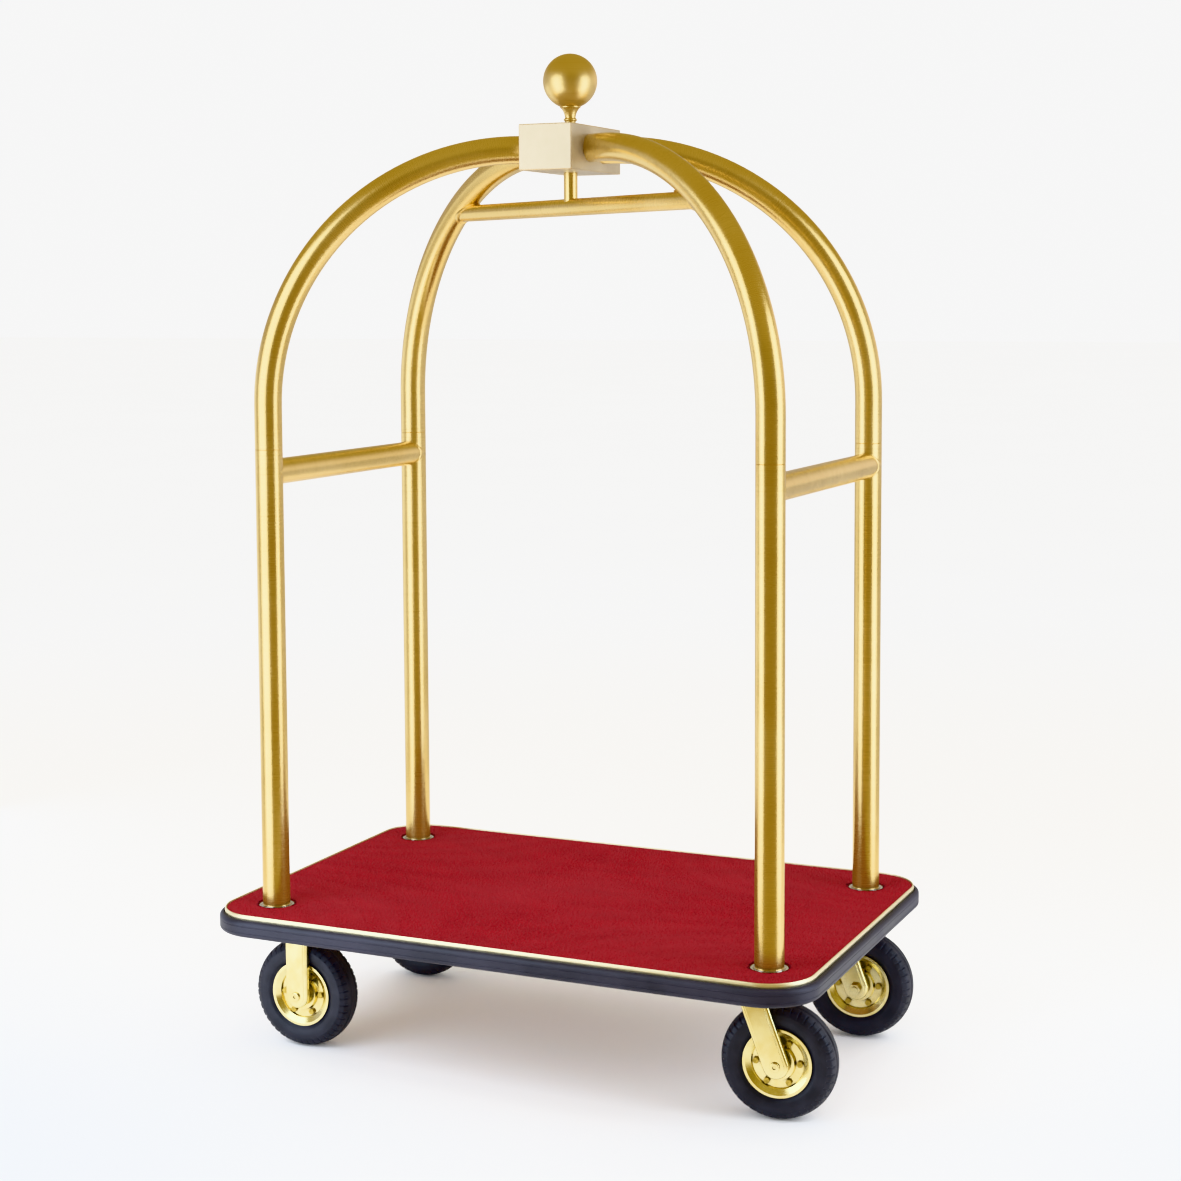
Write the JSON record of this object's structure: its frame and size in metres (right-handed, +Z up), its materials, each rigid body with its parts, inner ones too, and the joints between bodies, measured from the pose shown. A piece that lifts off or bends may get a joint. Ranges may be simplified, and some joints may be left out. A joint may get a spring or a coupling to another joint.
{
  "type": "hotel luggage cart",
  "caption": "Birdcage luggage cart with a carpeted deck, arched tube frame meeting in a hub under a ball finial, a garment rail, a rubber bumper, and fixed and swivel casters.",
  "frame": {"origin": "on the floor under the middle of the deck", "axes": "+Z up, +X along the deck towards the swivelling wheels, +Y towards the back"},
  "size_m": [1.1777, 0.77, 1.85],
  "materials": {
    "gold_tube": "satin brushed brass-coloured plating",
    "gold_plate": "polished pale brass-coloured plating",
    "champagne_cast": "polished pale champagne-coloured plating",
    "gold_trim": "bright anodised",
    "plain_steel": "zinc plated",
    "painted_steel": "satin black paint",
    "plywood": "sealed plywood",
    "carpet": "short cut pile",
    "bumper_rubber": "matte",
    "tyre": "matte moulded rubber"
  },
  "bodies": {
    "root": {"deck_board": "plywood", "deck_stiffeners": "painted_steel", "carpet": "carpet", "edge_trim": "gold_trim", "bumper": "bumper_rubber", "crossbar_left": "gold_tube", "crossbar_right": "gold_tube", "crossbar_welds": "gold_tube", "splice_sleeves": "plain_steel", "post_base_rings": "gold_plate", "post_base_plugs": "plain_steel", "post_base_bolts": "plain_steel", "hub": "champagne_cast", "hub_bottom_plate": "champagne_cast", "arch_end_plugs": "plain_steel", "hub_bolts": "plain_steel", "finial_ball": "gold_plate", "finial_neck": "gold_plate", "finial_stud": "plain_steel", "hanger_stem": "gold_tube", "hanger_rail": "gold_tube", "hanger_welds": "gold_tube", "caster_screws": "plain_steel", "kingpins": "plain_steel", "fixed_axles": "gold_plate", "post_front_left": "gold_tube", "arch_front_left": "gold_tube", "post_back_left": "gold_tube", "arch_back_left": "gold_tube", "post_front_right": "gold_tube", "arch_front_right": "gold_tube", "post_back_right": "gold_tube", "arch_back_right": "gold_tube", "fixed_fork_front": "gold_plate", "swivel_plate_front": "gold_plate", "fixed_fork_back": "gold_plate", "swivel_plate_back": "gold_plate"},
    "swivel_front": {"swivel_fork_front": "gold_plate", "swivel_balls_front": "plain_steel", "swivel_axle_front": "gold_plate"},
    "swivel_back": {"swivel_fork_back": "gold_plate", "swivel_balls_back": "plain_steel", "swivel_axle_back": "gold_plate"},
    "wheel_front_left": {"tyre_front_left": "tyre", "rim_front_left": "gold_plate", "rim_bolts_front_left": "plain_steel", "wheel_hub_front_left": "gold_plate"},
    "wheel_back_left": {"tyre_back_left": "tyre", "rim_back_left": "gold_plate", "rim_bolts_back_left": "plain_steel", "wheel_hub_back_left": "gold_plate"},
    "wheel_front_right": {"tyre_front_right": "tyre", "rim_front_right": "gold_plate", "rim_bolts_front_right": "plain_steel", "wheel_hub_front_right": "gold_plate"},
    "wheel_back_right": {"tyre_back_right": "tyre", "rim_back_right": "gold_plate", "rim_bolts_back_right": "plain_steel", "wheel_hub_back_right": "gold_plate"}
  },
  "joints": [
    {"name": "swivel_front_turn", "type": "hinge", "parent": "root", "child": "swivel_front", "pos_m": [0.46, -0.23, 0.247], "axis": [0, 0, 1], "continuous": true},
    {"name": "swivel_back_turn", "type": "hinge", "parent": "root", "child": "swivel_back", "pos_m": [0.46, 0.23, 0.247], "axis": [0, 0, 1], "continuous": true},
    {"name": "wheel_front_left_roll", "type": "hinge", "parent": "root", "child": "wheel_front_left", "pos_m": [-0.451, -0.23, 0.102], "axis": [0, 1, 0], "continuous": true},
    {"name": "wheel_back_left_roll", "type": "hinge", "parent": "root", "child": "wheel_back_left", "pos_m": [-0.451, 0.23, 0.102], "axis": [0, 1, 0], "continuous": true},
    {"name": "wheel_front_right_roll", "type": "hinge", "parent": "swivel_front", "child": "wheel_front_right", "pos_m": [0.49077, -0.22622, 0.102], "axis": [-0.1219, 0.9925, 0], "continuous": true},
    {"name": "wheel_back_right_roll", "type": "hinge", "parent": "swivel_back", "child": "wheel_back_right", "pos_m": [0.49088, 0.2327, 0.102], "axis": [-0.0872, 0.9962, 0], "continuous": true}
  ]
}
